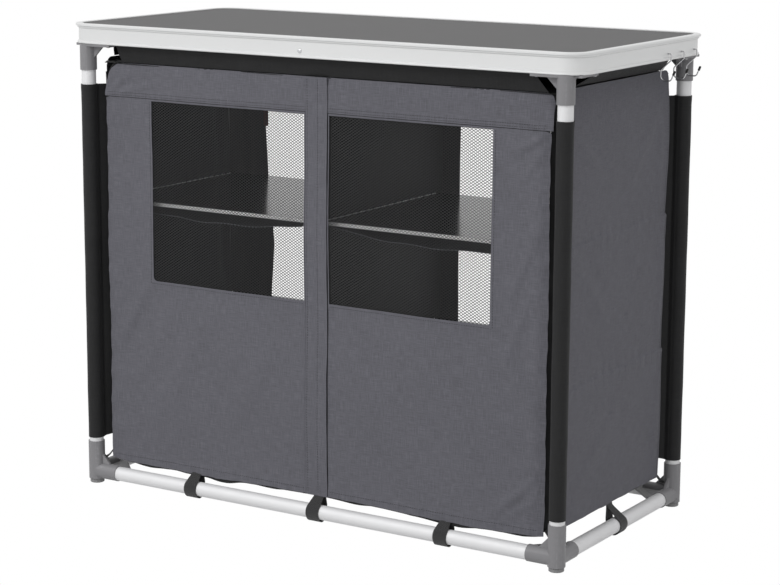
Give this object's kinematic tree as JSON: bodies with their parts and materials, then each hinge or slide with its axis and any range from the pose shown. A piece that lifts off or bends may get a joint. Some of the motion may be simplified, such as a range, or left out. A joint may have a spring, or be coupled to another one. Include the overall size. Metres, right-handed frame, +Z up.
{
  "type": "camping cupboard",
  "caption": "Free-standing camping cupboard: rimmed table top on a tube frame, with a fabric cabinet of shelves behind doors with net windows.",
  "frame": {"origin": "on the ground, under the middle of the table top", "axes": "+Z up, +X along the front from left to right, -Y out of the front with the doors"},
  "size_m": [1.0096, 0.46, 0.82],
  "materials": {
    "board_laminate": "fine-grained laminate, satin",
    "rim_metal": "satin anodised extrusion",
    "brace_metal": "mill finish",
    "rivet_metal": "satin",
    "tube_metal": "satin anodised",
    "connector_plastic": "fine moulded texture",
    "foot_plastic": "fine moulded texture",
    "hook_wire": "zinc plated wire",
    "hook_cap": "dipped, satin",
    "cabinet_cloth": "coated woven polyester",
    "lining_cloth": "coated woven polyester, inner side",
    "trim_cloth": "black woven polyester",
    "webbing": "ribbed polypropylene webbing",
    "window_net": "knitted hexagon net",
    "zip_tape": "woven tape with a coil",
    "zip_metal": "black lacquer",
    "shelf_board": "dark laminate, satin",
    "shelf_trim": "bright edge",
    "tag_cloth": "satin ribbon"
  },
  "bodies": {
    "root": {"tabletop_board": "board_laminate", "rim_frame": "rim_metal", "tabletop_brace": "brace_metal", "rivets": "rivet_metal", "upper_bracket_front_left": "connector_plastic", "lower_connector_front_left": "connector_plastic", "leg_tube_front_left": "tube_metal", "corner_sleeve_front_left": "trim_cloth", "upper_bracket_front_right": "connector_plastic", "lower_connector_front_right": "connector_plastic", "leg_tube_front_right": "tube_metal", "corner_sleeve_front_right": "trim_cloth", "upper_bracket_rear_left": "connector_plastic", "lower_connector_rear_left": "connector_plastic", "leg_tube_rear_left": "tube_metal", "corner_sleeve_rear_left": "trim_cloth", "upper_bracket_rear_right": "connector_plastic", "lower_connector_rear_right": "connector_plastic", "leg_tube_rear_right": "tube_metal", "corner_sleeve_rear_right": "trim_cloth", "bottom_tube_front": "tube_metal", "bottom_tube_rear": "tube_metal", "bottom_tube_left": "tube_metal", "bottom_tube_right": "tube_metal", "side_panel_left": "cabinet_cloth", "side_panel_right": "cabinet_cloth", "front_band": "cabinet_cloth", "centre_strip": "cabinet_cloth", "divider_panel": "lining_cloth", "floor_panel": "lining_cloth", "ceiling_panel": "lining_cloth", "rear_panel": "lining_cloth", "shelf_slings": "lining_cloth", "top_skirts": "trim_cloth", "front_sill": "trim_cloth", "webbing_loops": "webbing", "zip_tapes": "zip_tape", "shelf_lower_left": "shelf_board", "shelf_upper_left": "shelf_board", "shelf_lower_right": "shelf_board", "shelf_upper_right": "shelf_board", "base_boards": "shelf_board", "shelf_edges": "shelf_trim", "sewn_tag": "tag_cloth"},
    "door_left": {"door_left": "cabinet_cloth", "window_net_left": "window_net"},
    "door_right": {"door_right": "cabinet_cloth", "window_net_right": "window_net"},
    "zip_slider_left": {"zip_slider_left": "zip_metal"},
    "zip_slider_right": {"zip_slider_right": "zip_metal"},
    "foot_front_left": {"foot_front_left": "foot_plastic"},
    "foot_front_right": {"foot_front_right": "foot_plastic"},
    "foot_rear_left": {"foot_rear_left": "foot_plastic"},
    "foot_rear_right": {"foot_rear_right": "foot_plastic"},
    "hook_front": {"hook_front": "hook_wire", "hook_tip_front": "hook_cap"},
    "hook_middle": {"hook_middle": "hook_wire", "hook_tip_middle": "hook_cap"},
    "hook_rear": {"hook_rear": "hook_wire", "hook_tip_rear": "hook_cap"}
  },
  "joints": [
    {"name": "door_left_swing", "type": "hinge", "parent": "root", "child": "door_left", "pos_m": [-0.437, -0.204, 0.37], "axis": [0, 0, -1], "range_deg": [0, 120]},
    {"name": "door_right_swing", "type": "hinge", "parent": "root", "child": "door_right", "pos_m": [0.437, -0.204, 0.37], "axis": [0, 0, 1], "range_deg": [0, 120]},
    {"name": "zip_left_slide", "type": "slide", "parent": "root", "child": "zip_slider_left", "axis": [0, 0, 1], "range_m": [0, 0.6]},
    {"name": "zip_right_slide", "type": "slide", "parent": "root", "child": "zip_slider_right", "axis": [0, 0, 1], "range_m": [0, 0.6]},
    {"name": "foot_front_left_screw", "type": "slide", "parent": "root", "child": "foot_front_left", "axis": [0, 0, -1], "range_m": [0, 0.012]},
    {"name": "foot_front_right_screw", "type": "slide", "parent": "root", "child": "foot_front_right", "axis": [0, 0, -1], "range_m": [0, 0.012]},
    {"name": "foot_rear_left_screw", "type": "slide", "parent": "root", "child": "foot_rear_left", "axis": [0, 0, -1], "range_m": [0, 0.012]},
    {"name": "foot_rear_right_screw", "type": "slide", "parent": "root", "child": "foot_rear_right", "axis": [0, 0, -1], "range_m": [0, 0.012]},
    {"name": "hook_front_swing", "type": "hinge", "parent": "root", "child": "hook_front", "pos_m": [0.494, 0.082, 0.796], "axis": [1, 0, 0], "range_deg": [-25, 25]},
    {"name": "hook_middle_swing", "type": "hinge", "parent": "root", "child": "hook_middle", "pos_m": [0.494, 0.132, 0.796], "axis": [1, 0, 0], "range_deg": [-25, 25]},
    {"name": "hook_rear_swing", "type": "hinge", "parent": "root", "child": "hook_rear", "pos_m": [0.494, 0.181, 0.796], "axis": [1, 0, 0], "range_deg": [-25, 25]}
  ]
}
